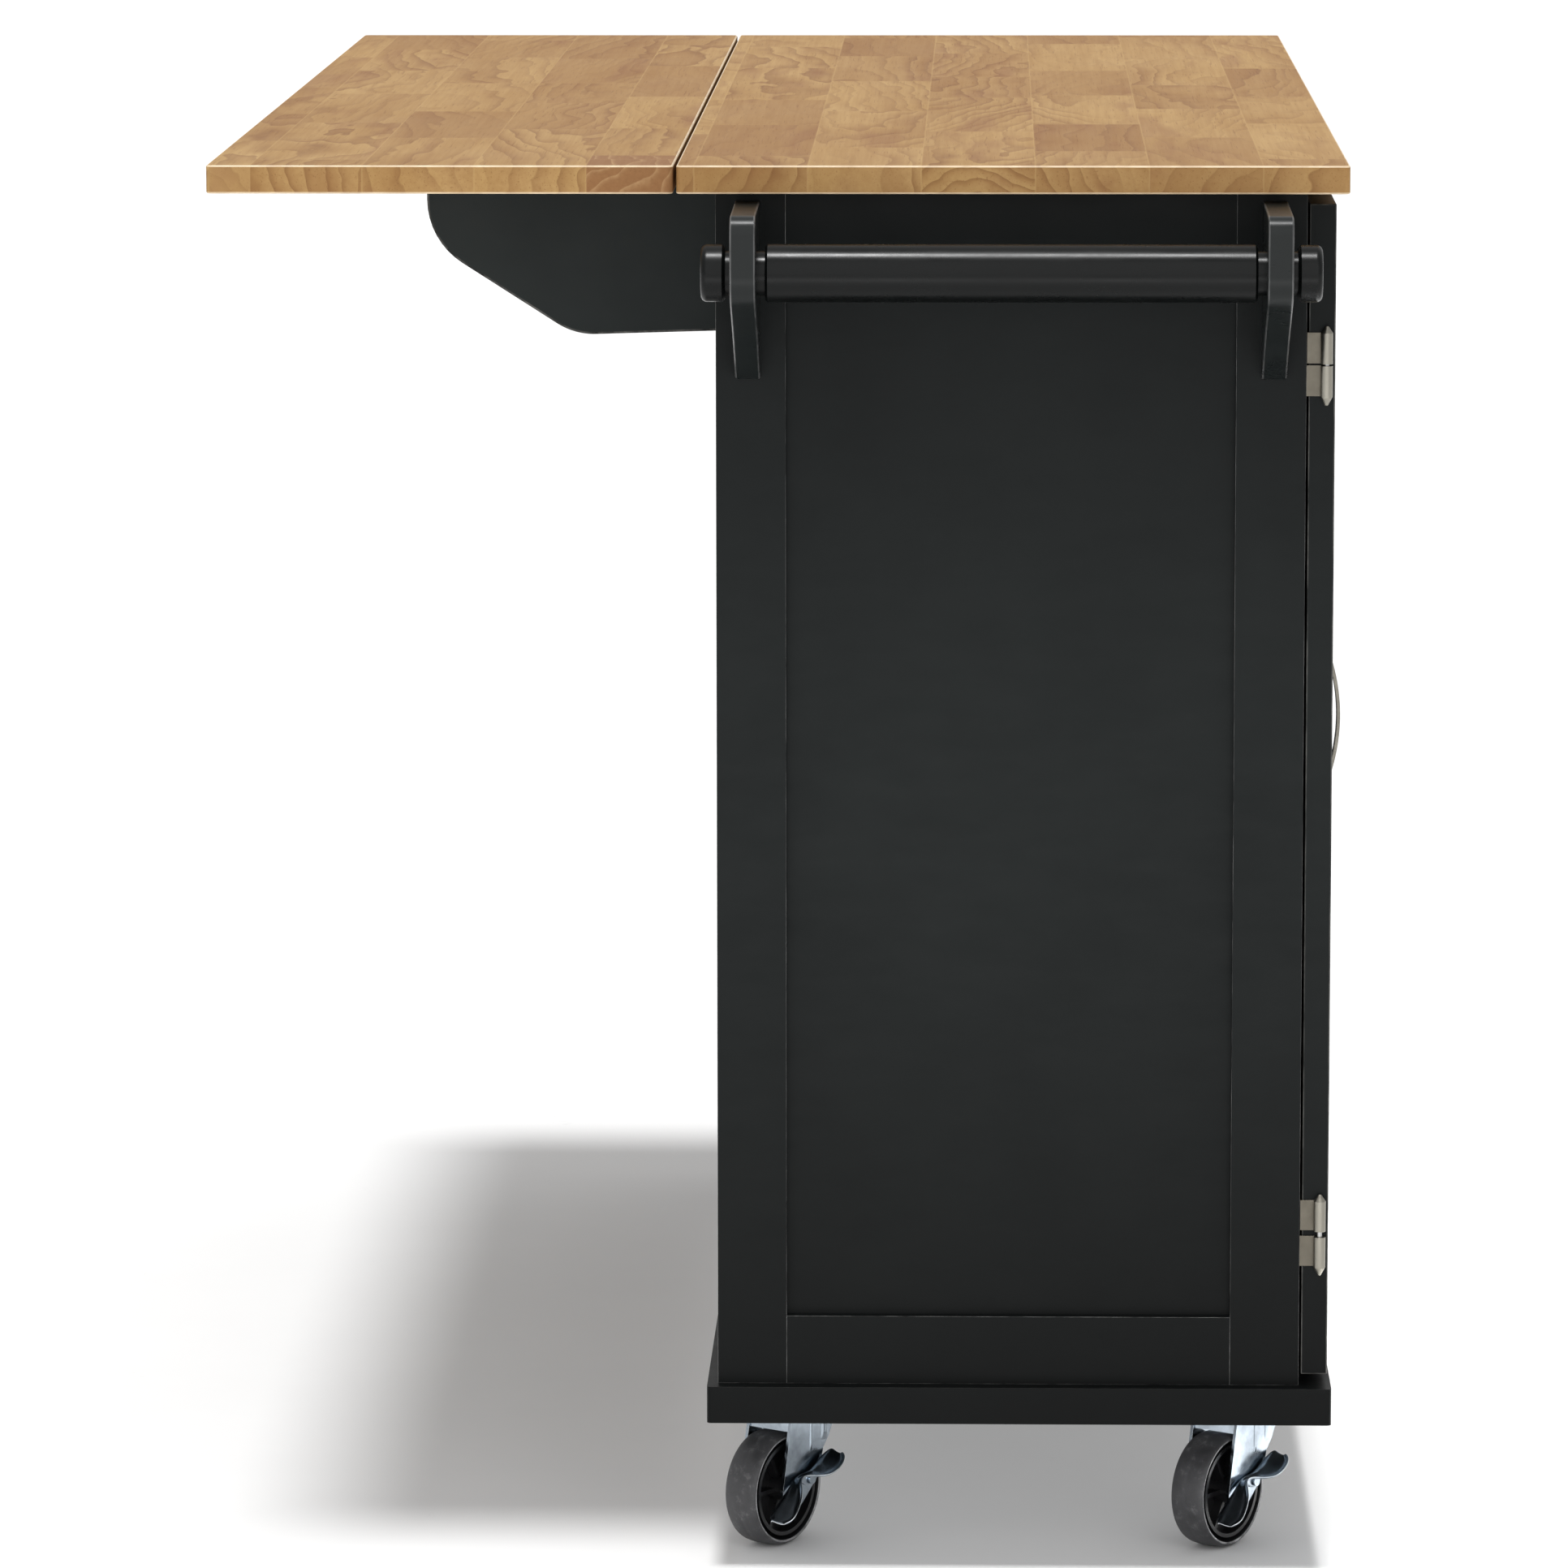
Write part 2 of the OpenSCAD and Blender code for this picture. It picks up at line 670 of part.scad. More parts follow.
module tyre(k) {
    half = wheel_w / 2;
    inner = rim_r + eps;
    color("#4a4a4d") placed() on_caster(k) translate([trail, 0, wheel_r]) rotate([90, 0, 0])
        rotate_extrude($fn = 72) polygon(concat(
            [[inner, -half + 0.8], [inner + 0.8, -half], [wheel_r - shoulder_r, -half]],
            arc([wheel_r - shoulder_r, -half + shoulder_r], shoulder_r, -75, -18, 5),
            [[wheel_r, -3.5], [wheel_r, 3.5]],
            arc([wheel_r - shoulder_r, half - shoulder_r], shoulder_r, 18, 75, 5),
            [[wheel_r - shoulder_r, half], [inner + 0.8, half], [inner, half - 0.8]]));
}

// Brake rocker: a bent strip with two treads, on a side plate that turns on the fork's pivot
rocker_line = [[-10, 59.5], [6, 52], [13, 49.5], [20, 48.5], [27, 47], [33, 41.8], [52, 19.5]];

module rocker_strip() {
    polygon(concat(rocker_line, [for (i = [len(rocker_line) - 1:-1:0]) rocker_line[i] - [0.6, rocker_t]]));
}

// Plan outline of the two treads, narrow at the waist
module rocker_plan() {
    polygon([[-12, 18], [-12, 29], [-9, 32.5], [-4, 32], [4, 28.5], [12, 24.5], [20, 22.5], [27, 22.5],
        [33, 26], [40, 33], [44, 36.5], [48, 37.8], [51, 36.5], [54, 32], [54, 18]]);
}

module brake(k) {
    color("slategray") placed() on_caster(k) difference() {
        union() {
            intersection() {
                translate([0, 40, 0]) rotate([90, 0, 0]) linear_extrude(40 - rocker_in) rocker_strip();
                linear_extrude(80) rocker_plan();
            }
            translate([0, rocker_in + rocker_t, 0]) rotate([90, 0, 0]) linear_extrude(rocker_t)
                polygon(concat([for (p = rocker_line) p - [0, 0.8]],
                    [[49, 19], [32, 40], [27.5, 44.3], [19, 44.3], [15.5, 38.8], [11, 37.2],
                     [6.5, 38.8], [4.5, 43], [2, 48], [-9, 54]]));
        }
        translate([pivot[0], rocker_in, pivot[1]]) rod_y(pivot_r + pin_fit, 6);
    }
}

// ---- Everything that is drawn ----
top_panel();
base_panel();
side_frames();
side_panels();
back_top_rail();
back_panel();
dividers();
front_stretchers();
shelves();
shelf_pins();
towel_brackets();
towel_bar();
butt_hinge_fixed_plates();
door_hinge_fixed_plates();
hinge_pins();
caster_plates();
caster_screws();
drawer_runners();
leaf_panel();
leaf_hinge_plates();
for (s = ["left", "right"]) {
    wing(s);
    wing_hinge_plate(s);
    door_frame(s);
    door_panel(s);
    door_pull(s);
    door_hinge_plates(s);
}
for (k = [1:4]) {
    drawer_front(k);
    drawer_box(k);
    drawer_pull(k);
    fork(k);
    hub(k);
    tyre(k);
    brake(k);
}
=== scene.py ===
"""Looks of the rolling butcher block table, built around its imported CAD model."""
import json
import math

import bpy
from mathutils import Matrix, Vector


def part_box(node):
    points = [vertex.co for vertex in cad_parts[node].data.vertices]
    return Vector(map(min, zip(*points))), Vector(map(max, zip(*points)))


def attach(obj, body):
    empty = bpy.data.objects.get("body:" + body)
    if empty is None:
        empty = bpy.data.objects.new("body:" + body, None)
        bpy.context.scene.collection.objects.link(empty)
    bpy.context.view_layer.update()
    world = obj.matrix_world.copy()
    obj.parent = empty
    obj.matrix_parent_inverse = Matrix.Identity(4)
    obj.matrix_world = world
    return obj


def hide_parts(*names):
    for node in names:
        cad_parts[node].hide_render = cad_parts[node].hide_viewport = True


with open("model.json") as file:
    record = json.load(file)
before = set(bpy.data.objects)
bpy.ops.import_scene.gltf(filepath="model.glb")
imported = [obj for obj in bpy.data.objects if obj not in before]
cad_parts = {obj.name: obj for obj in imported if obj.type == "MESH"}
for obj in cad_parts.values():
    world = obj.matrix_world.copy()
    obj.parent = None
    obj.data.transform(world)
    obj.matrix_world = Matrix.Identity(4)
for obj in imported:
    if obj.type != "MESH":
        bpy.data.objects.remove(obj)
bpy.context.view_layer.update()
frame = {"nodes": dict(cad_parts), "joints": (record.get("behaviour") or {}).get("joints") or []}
nodes = frame["nodes"]
joints = {joint["name"]: joint for joint in frame["joints"]}
scene = bpy.context.scene
SIDES = ("left", "right")
DRAWERS = range(1, 5)
CASTERS = range(1, 5)
MM = 0.001
WHEEL_HALF_WIDTH = 12.5                          # mm
FORK_HALF_WIDTH = 18.0                           # mm, to a leg's outer face
ROCKER_SHEET = 1.2                               # mm
TOP_STAVE = 0.072                                # width of a stave in the fixed top
TOP_FIRST_STAVE = 0.0112                         # width of the narrow stave at the joint
LEAF_STAVE = 0.071                               # width of a stave in the leaf
LEAF_FIRST_STAVE = 0.055                         # width of the leaf's narrower stave at the joint
DARK_BLOCK = 0.085                               # length of the leaf's dark block at the near end
KNUCKLE_REACH = 0.0041                           # painted highlight: brighter colour about a door hinge's axis

top_low, top_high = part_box("top_panel")
MIDDLE = (top_low.x + top_high.x) / 2


# ---------------------------------------------------------------- camera, light, floor
def make_camera():
    """The camera stands beyond the towel bar's end and looks along the table."""
    at = Vector((-5.93806, -0.12993, 1.31765))
    yaw, pitch, roll = 0.02494, 0.1494, -0.00125
    forward = Vector((math.cos(pitch) * math.cos(yaw), math.cos(pitch) * math.sin(yaw), -math.sin(pitch)))
    level = forward.cross(Vector((0, 0, 1))).normalized()
    upright = level.cross(forward)
    right = level * math.cos(roll) + upright * math.sin(roll)
    up = upright * math.cos(roll) - level * math.sin(roll)
    camera = bpy.data.objects.new("camera", bpy.data.cameras.new("camera"))
    scene.collection.objects.link(camera)
    camera.matrix_world = Matrix((
        (right.x, up.x, -forward.x, at.x),
        (right.y, up.y, -forward.y, at.y),
        (right.z, up.z, -forward.z, at.z),
        (0, 0, 0, 1)))
    camera.data.sensor_width = 36
    camera.data.lens = 192.85
    camera.data.clip_end = 200
    scene.camera = camera


def add_sun(name, travel, strength, angle):
    """Soft light that travels in one direction."""
    data = bpy.data.lights.new(name, "SUN")
    data.energy = strength
    data.angle = math.radians(angle)
    sun = bpy.data.objects.new(name, data)
    scene.collection.objects.link(sun)
    sun.rotation_euler = Vector(travel).to_track_quat("-Z", "Y").to_euler()


def add_panel(name, at, towards, width, height, power, spread=180, shown_in_gloss=True):
    """Soft rectangular light. Its own face isn't seen."""
    data = bpy.data.lights.new(name, "AREA")
    data.shape = "RECTANGLE"
    data.size, data.size_y = width, height
    data.energy = power
    data.spread = math.radians(spread)
    panel = bpy.data.objects.new(name, data)
    scene.collection.objects.link(panel)
    panel.location = at
    panel.rotation_euler = (Vector(towards) - Vector(at)).to_track_quat("-Z", "Y").to_euler()
    panel.visible_camera = False
    panel.visible_glossy = shown_in_gloss


def make_light():
    """Light from overhead and from the camera's side, with soft lights near the floor."""
    low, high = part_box("base_panel")
    middle = (low + high) / 2
    add_sun("key", (0.13, -0.05, -0.914), 2.25, 9)
    add_sun("fill", (1, 0.1, -0.45), 0.70, 60)
    add_panel("front_low", (low.x - 1.6, -0.1, 0.22), (low.x, -0.1, 0.30), 2.2, 0.36, 4)
    under = low.z - 0.01                         # just below the base
    add_panel("under", (middle.x, middle.y, under), (middle.x, middle.y, 0), 1.26, 0.36, 0.52,
              shown_in_gloss=False)
    beside = low.y - 0.19                        # before the doors
    add_panel("beside", (middle.x, beside, 1.4), (middle.x, beside, 0), 1.7, 0.26, 3.2, spread=16)
    world = bpy.data.worlds.new("studio")
    world.use_nodes = True
    scene.world = world
    background = world.node_tree.nodes["Background"]
    background.inputs["Color"].default_value = (1, 1, 1, 1)
    background.inputs["Strength"].default_value = 0.63
    scene.view_settings.view_transform = "Standard"


# ---------------------------------------------------------------- materials
class Look:
    """Builds the nodes of one material."""

    def __init__(self, name):
        self.material = bpy.data.materials.new(name)
        self.material.use_nodes = True
        self.tree = self.material.node_tree
        self.tree.nodes.clear()
        self.place = self.add("ShaderNodeTexCoord").outputs["Object"]

    def add(self, kind, sockets=None, **settings):
        node = self.tree.nodes.new(kind)
        for key, value in settings.items():
            setattr(node, key, value)
        for key, value in (sockets or {}).items():
            self.put(node.inputs[key], value)
        return node

    def put(self, socket, value):
        if isinstance(value, bpy.types.NodeSocket):
            self.tree.links.new(value, socket)
        else:
            socket.default_value = value

    def math(self, operation, *values):
        return self.add("ShaderNodeMath", dict(enumerate(values)), operation=operation).outputs[0]

    def vector(self, operation, *values):
        return self.add("ShaderNodeVectorMath", dict(enumerate(values)), operation=operation).outputs[0]

    def join(self, x, y, z):
        return self.add("ShaderNodeCombineXYZ", {0: x, 1: y, 2: z}).outputs[0]

    def parts(self, vector):
        return self.add("ShaderNodeSeparateXYZ", {0: vector}).outputs

    def remap(self, value, low, high, to_low=0.0, to_high=1.0):
        """Value from low..high to to_low..to_high, held at the ends."""
        return self.add("ShaderNodeMapRange",
                        {0: value, 1: low, 2: high, 3: to_low, 4: to_high}).outputs[0]

    def noise(self, stretch, detail=2.0, roughness=0.5, shift=None):
        """Noise with stretch cycles a metre along X, Y and Z."""
        at = self.vector("MULTIPLY", self.place, stretch)
        if shift is not None:
            at = self.vector("ADD", at, shift)
        sockets = {"Vector": at, "Scale": 1.0, "Detail": detail, "Roughness": roughness}
        return self.add("ShaderNodeTexNoise", sockets).outputs[0]

    def mix(self, share, a, b):
        """Colour from a to b."""
        node = self.add("ShaderNodeMix", data_type="RGBA")
        for socket, value in ((0, share), (6, a), (7, b)):
            if isinstance(value, tuple):
                value = (*value, 1)
            self.put(node.inputs[socket], value)
        return node.outputs[2]

    def finish(self, colour, roughness, height=None, relief=0.001, strength=1.0, **plain):
        """Principled shader. The keywords are constant values by socket name."""
        shader = self.add("ShaderNodeBsdfPrincipled")
        self.put(shader.inputs["Base Color"], (*colour, 1) if isinstance(colour, tuple) else colour)
        self.put(shader.inputs["Roughness"], roughness)
        for key, value in plain.items():
            shader.inputs[key.replace("_", " ")].default_value = value
        if height is not None:
            bump = self.add("ShaderNodeBump", {"Height": height, "Distance": relief, "Strength": strength})
            self.put(shader.inputs["Normal"], bump.outputs[0])
        self.add("ShaderNodeOutputMaterial", {"Surface": shader.outputs[0]})
        return self.material


def butcher_block(name, first_joint, pitch, seed, arris=False, dark_end=None):
    """Solid wood texture: staves along X, each of glued blocks with growth rings of their own."""
    k = Look(name)
    x, y, z = k.parts(k.place)
    across = k.math("DIVIDE", k.math("SUBTRACT", y, first_joint), pitch)
    stave = k.math("FLOOR", across)
    share = k.math("SUBTRACT", across, stave)
    # blocks along the stave
    along = k.math("ADD", k.math("MULTIPLY", x, 3.6), k.math("MULTIPLY_ADD", stave, 17.37, seed))
    cell = {"W": along, "Scale": 1.0, "Randomness": 0.6}
    block = k.add("ShaderNodeTexVoronoi", cell, voronoi_dimensions="1D")
    seam = k.add("ShaderNodeTexVoronoi", cell, voronoi_dimensions="1D", feature="DISTANCE_TO_EDGE")
    first, second, third = k.parts(block.outputs["Color"])
    more = k.add("ShaderNodeTexWhiteNoise",
                 {"Vector": k.vector("ADD", block.outputs["Color"], k.join(stave, seed, 0.0))})
    fourth, fifth, sixth = k.parts(more.outputs["Color"])
    shift = k.vector("MULTIPLY", more.outputs["Color"], (40, 40, 40))
    # growth rings about a pith that runs nearly along the block
    wander = k.noise((4.0, 13, 13), detail=3.0, roughness=0.5, shift=shift)
    ripple = k.noise((13.0, 42, 42), detail=2.0, shift=shift)
    bend = k.math("MULTIPLY_ADD", k.math("SUBTRACT", wander, 0.5), 0.075,
                  k.math("MULTIPLY", k.math("SUBTRACT", ripple, 0.5), 0.012))
    slant = k.math("MULTIPLY", k.math("SUBTRACT", second, 0.5), 0.30)
    climb = k.math("MULTIPLY", k.math("SUBTRACT", fourth, 0.5), 0.22)
    pith_y = k.math("MULTIPLY_ADD", k.math("SUBTRACT", first, 0.5), 0.15, k.math("MULTIPLY", x, slant))
    pith_z = k.math("MULTIPLY_ADD", third, -0.07, k.math("MULTIPLY_ADD", x, climb, 0.9))
    dy = k.math("SUBTRACT", k.math("MULTIPLY", k.math("SUBTRACT", share, 0.5), pitch), pith_y)
    dz = k.math("SUBTRACT", z, pith_z)
    reach = k.math("SQRT", k.math("MULTIPLY_ADD", dy, dy, k.math("MULTIPLY", dz, dz)))
    rings = k.math("MULTIPLY", k.math("ADD", reach, bend), k.math("MULTIPLY_ADD", fifth, 48.0, 52.0))
    phase = k.math("FRACT", rings)
    line = k.math("MULTIPLY", k.math("POWER", phase, 6.0), k.remap(phase, 0.94, 1.0, 1.0, 0.0))
    broad = k.math("MULTIPLY", phase, k.remap(phase, 0.8, 1.0, 1.0, 0.0))
    # every few rings one is wider and browner
    slow = k.noise((1.6, 12, 12), detail=2.0, shift=shift)
    year = k.math("SINE", k.math("MULTIPLY", rings, 1.35))
    band = k.remap(slow, 0.38, 0.62, 0.2, 1.0)
    # fibres, pores and soft clouds
    fibre = k.noise((6.0, 300, 300), detail=4.0, roughness=0.6, shift=shift)
    pores = k.remap(k.noise((26.0, 800, 800), detail=1.0, shift=shift), 0.64, 0.73)
    cloud = k.noise((3.2, 16, 16), detail=3.0, roughness=0.55, shift=shift)
    streak = k.remap(k.noise((3.0, 24, 24), detail=3.0, roughness=0.6, shift=shift), 0.57, 0.68)

    honey, pale = (0.352, 0.203, 0.072), (0.480, 0.312, 0.134)
    brown, umber = (0.240, 0.113, 0.040), (0.165, 0.066, 0.024)
    colour = k.mix(k.remap(cloud, 0.25, 0.75, 0.15, 0.85), pale, honey)
    colour = k.mix(k.math("MULTIPLY", k.remap(sixth, 0.3, 1.0), 0.62), colour, brown)
    yearly = k.math("MULTIPLY", k.remap(year, 0.1, 1.0), k.math("MULTIPLY", band, 0.42))
    colour = k.mix(yearly, colour, brown)
    colour = k.mix(k.math("MULTIPLY", broad, k.math("MULTIPLY", band, 0.52)), colour, brown)
    colour = k.mix(k.math("MULTIPLY", line, k.math("MULTIPLY", band, 0.85)), colour, umber)
    colour = k.mix(k.math("MULTIPLY", k.remap(fibre, 0.36, 0.70), 0.26), colour, brown)
    colour = k.mix(k.math("MULTIPLY", pores, 0.35), colour, umber)
    colour = k.mix(k.math("MULTIPLY", streak, 0.34), colour, (0.215, 0.090, 0.042))
    if dark_end is not None:                     # the short dark block at the near end
        dark = k.math("MULTIPLY", k.math("LESS_THAN", x, dark_end), k.math("COMPARE", stave, 0.0, 0.1))
        arcs = k.mix(k.math("MULTIPLY", line, 0.9), (0.250, 0.118, 0.050), (0.50, 0.32, 0.16))
        arcs = k.mix(k.remap(fibre, 0.35, 0.7, 0.0, 0.5), arcs, (0.20, 0.090, 0.038))
        colour = k.mix(k.math("MULTIPLY", dark, 0.8), colour, arcs)
    edge = k.math("MINIMUM", share, k.math("SUBTRACT", 1.0, share))
    glue = k.math("MAXIMUM", k.remap(edge, 0.003, 0.010, 1.0, 0.0),
                  k.remap(seam.outputs["Distance"], 0.0010, 0.0040, 1.0, 0.0))
    colour = k.mix(k.math("MULTIPLY", glue, 0.35), colour, pale)
    # painted highlight: the arris copies mix in a lighter colour for the glint on the rounded edge
    if arris:
        glint_and_wear = k.noise((60, 60, 60), detail=3.0)
        colour = k.mix(k.remap(glint_and_wear, 0.3, 0.7, 0.45, 0.85), colour, (0.82, 0.66, 0.45))
    rough = k.math("MULTIPLY_ADD", k.noise((9, 9, 9), detail=3.0), 0.10,
                   k.math("MULTIPLY_ADD", fibre, 0.08, 0.30 if arris else 0.44))
    height = k.math("MULTIPLY_ADD", fibre, 0.5, k.math("MULTIPLY_ADD", pores, -0.8,
                    k.math("MULTIPLY_ADD", line, -0.3, k.math("MULTIPLY", glue, -0.8))))
    return k.finish(colour, rough, height, relief=0.00012, strength=0.6,
                    Specular_IOR_Level=0.5 if arris else 0.09)


def black_paint(name, gloss=0.38, base=0.0052, wear_and_highlight=None, sheen=0.11, relief=0.00006):
    """Satin black paint over wood, with fine orange peel and soft handling marks, and painted light and
    shade that change with height.
    """
    k = Look(name)
    x, y, z = k.parts(k.place)
    # painted shade and light: darker near the floor and just under the top, lighter at mid height, standing
    # in for how the light falls
    painted_light_and_shade_by_height = k.math("MULTIPLY", k.remap(z, 0.08, 0.46, 0.25, 1.6), k.remap(z, 0.5, 0.9, 1.0, 0.6))
    cloud = k.noise((4, 4, 4), detail=4.0, roughness=0.6)
    scuff = k.noise((18, 18, 60), detail=5.0, roughness=0.7)
    dark = (base * 0.80, base * 1.0, base * 1.0)
    light = (base * 1.4, base * 1.7, base * 1.68)
    colour = k.mix(k.remap(cloud, 0.3, 0.7), dark, light)
    colour = k.vector("MULTIPLY", colour, k.join(painted_light_and_shade_by_height, painted_light_and_shade_by_height, painted_light_and_shade_by_height))
    # painted highlight with some wear: the arris copies mix a lighter colour into the black
    if wear_and_highlight is not None:
        glint_and_wear = k.noise((70, 70, 26), detail=4.0, roughness=0.7)
        colour = k.mix(k.remap(glint_and_wear, 0.36, 0.66, 0.1, 1.0), colour, wear_and_highlight)
    rough = k.math("ADD", k.remap(scuff, 0.3, 0.75, gloss - 0.05, gloss + 0.09),
                   k.math("MULTIPLY", k.math("SUBTRACT", cloud, 0.5), 0.08))
    peel = k.noise((420, 420, 420), detail=2.0)
    grain = k.noise((60, 60, 5), detail=3.0)
    height = k.math("MULTIPLY_ADD", grain, 0.6, k.math("MULTIPLY", peel, 0.35))
    return k.finish(colour, rough, height, relief=relief, strength=0.6, Specular_IOR_Level=sheen)


def metal(name, colour, low, high, streak=(40, 40, 600), dull=0.25, relief=0.00003, painted_knuckle_highlight=None):
    """Plated metal with fine streaks and duller blotches. The knuckle option paints a brighter colour about
    the door hinges' axes, a painted highlight.
    """
    k = Look(name)
    fine = k.noise(streak, detail=3.0, roughness=0.6)
    blotch = k.noise((55, 55, 55), detail=4.0, roughness=0.62)
    shade = tuple(c * (1 - dull) for c in colour)
    tint = k.mix(k.remap(blotch, 0.32, 0.68), colour, shade)
    if painted_knuckle_highlight is not None:
        bright, axis_x, axis_y, radius = painted_knuckle_highlight
        x, y, z = k.parts(k.place)
        off_x = k.math("SUBTRACT", k.math("ABSOLUTE", k.math("SUBTRACT", x, MIDDLE)), axis_x)
        off_y = k.math("SUBTRACT", y, axis_y)
        reach = k.math("SQRT", k.math("MULTIPLY_ADD", off_x, off_x, k.math("MULTIPLY", off_y, off_y)))
        tint = k.mix(k.math("LESS_THAN", reach, radius), tint, bright)
    rough = k.math("MULTIPLY_ADD", k.remap(blotch, 0.3, 0.7), 0.5 * (high - low),
                   k.remap(fine, 0.3, 0.7, low, (low + high) / 2))
    height = k.math("MULTIPLY_ADD", fine, 0.6, k.math("MULTIPLY", blotch, 0.4))
    return k.finish(tint, rough, height, relief=relief, strength=0.5, Metallic=1.0)


def rubber(name):
    k = Look(name)
    cloud = k.noise((60, 60, 60), detail=4.0, roughness=0.65)
    grit = k.noise((700, 700, 700), detail=2.0)
    scuff = k.remap(k.noise((120, 120, 120), detail=5.0, roughness=0.75), 0.55, 0.72)
    colour = k.mix(k.remap(cloud, 0.3, 0.7), (0.028, 0.028, 0.030), (0.060, 0.060, 0.064))
    colour = k.mix(k.math("MULTIPLY", scuff, 0.5), colour, (0.17, 0.17, 0.17))
    rough = k.remap(cloud, 0.3, 0.7, 0.46, 0.62)
    return k.finish(colour, rough, k.math("MULTIPLY_ADD", scuff, 0.5, grit), relief=0.0001, strength=0.6)


def moulded_plastic(name):
    k = Look(name)
    cloud = k.noise((90, 90, 90), detail=3.0)
    colour = k.mix(cloud, (0.004, 0.004, 0.0045), (0.010, 0.010, 0.011))
    grain = k.noise((900, 900, 900), detail=1.0)
    return k.finish(colour, k.remap(cloud, 0.3, 0.7, 0.26, 0.40), grain, relief=0.00004, strength=0.5)


def drawer_board(name):
    """Pale, clear-lacquered board of the drawer boxes."""
    k = Look(name)
    wave = k.noise((3, 40, 40), detail=3.0, roughness=0.55)
    fibre = k.noise((9, 500, 500), detail=3.0)
    colour = k.mix(k.remap(wave, 0.3, 0.7), (0.62, 0.47, 0.29), (0.50, 0.35, 0.19))
    colour = k.mix(k.math("MULTIPLY", k.remap(fibre, 0.45, 0.75), 0.35), colour, (0.36, 0.22, 0.11))
    return k.finish(colour, k.remap(wave, 0.3, 0.7, 0.42, 0.56), fibre, relief=0.0001, strength=0.5)


def floor_look():
    k = Look("studio_floor")
    cloud = k.noise((1.4, 1.4, 1.4), detail=5.0, roughness=0.6)
    spots = k.remap(k.noise((9, 14, 9), detail=6.0, roughness=0.7), 0.66, 0.80)
    colour = k.mix(k.remap(cloud, 0.3, 0.7), (0.80, 0.80, 0.80), (0.84, 0.84, 0.84))
    colour = k.mix(k.math("MULTIPLY", spots, 0.35), colour, (0.55, 0.55, 0.55))
    return k.finish(colour, 0.85, cloud, relief=0.001, strength=0.1, Specular_IOR_Level=0.1)


# ---------------------------------------------------------------- CAD nodes
def soften(name, material, width, edge=None, segments=2, angle=30):
    """Gives a CAD node its material and small rounded edges."""
    node = nodes[name]
    node.data.materials.clear()
    node.data.materials.append(material)
    if width:
        weld = node.modifiers.new("weld", "WELD")
        weld.merge_threshold = 0.00002
        flat = node.modifiers.new("flat", "DECIMATE")
        flat.decimate_type = "DISSOLVE"
        flat.angle_limit = math.radians(0.5)
        bevel = node.modifiers.new("bevel", "BEVEL")
        bevel.width = width
        bevel.segments = segments
        bevel.limit_method = "ANGLE"
        bevel.angle_limit = math.radians(angle)
        bevel.harden_normals = False
        if edge is not None:
            node.data.materials.append(edge)
            bevel.material = 1
        even = node.modifiers.new("even", "WEIGHTED_NORMAL")
        even.keep_sharp = False
        even.weight = 100
    return node


# ---------------------------------------------------------------- new pieces
def place_of(name):
    """Position and direction of a joint's axis."""
    return Vector(joints[name]["pos_m"]), Vector(joints[name]["axis"])


def caster_frame(k):
    """Matrix from a caster's own frame, in mm (along the trail, along the axle, up), to the row frame."""
    swivel = place_of(f"caster_{k}_swivel")[0]
    wheel, axle = place_of(f"caster_{k}_roll")
    trail = Vector((wheel.x - swivel.x, wheel.y - swivel.y, 0)).normalized()
    return Matrix((
        (trail.x * MM, axle.x * MM, 0, swivel.x),
        (trail.y * MM, axle.y * MM, 0, swivel.y),
        (0, 0, MM, 0),
        (0, 0, 0, 1)))


def piece(name, points, faces, body, material, matrix=Matrix()):
    """A smooth mesh that rides on a body."""
    mesh = bpy.data.meshes.new(name)
    mesh.from_pydata([tuple(matrix @ Vector(p)) for p in points], [], faces)
    mesh.validate()
    mesh.shade_smooth()
    mesh.materials.append(material)
    made = bpy.data.objects.new(name, mesh)
    scene.collection.objects.link(made)
    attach(made, body)
    return made


def grid_faces(rows, columns):
    """Faces of a grid of points, row by row."""
    return [(r * columns + c, r * columns + c + 1, (r + 1) * columns + c + 1, (r + 1) * columns + c)
            for r in range(rows - 1) for c in range(columns - 1)]


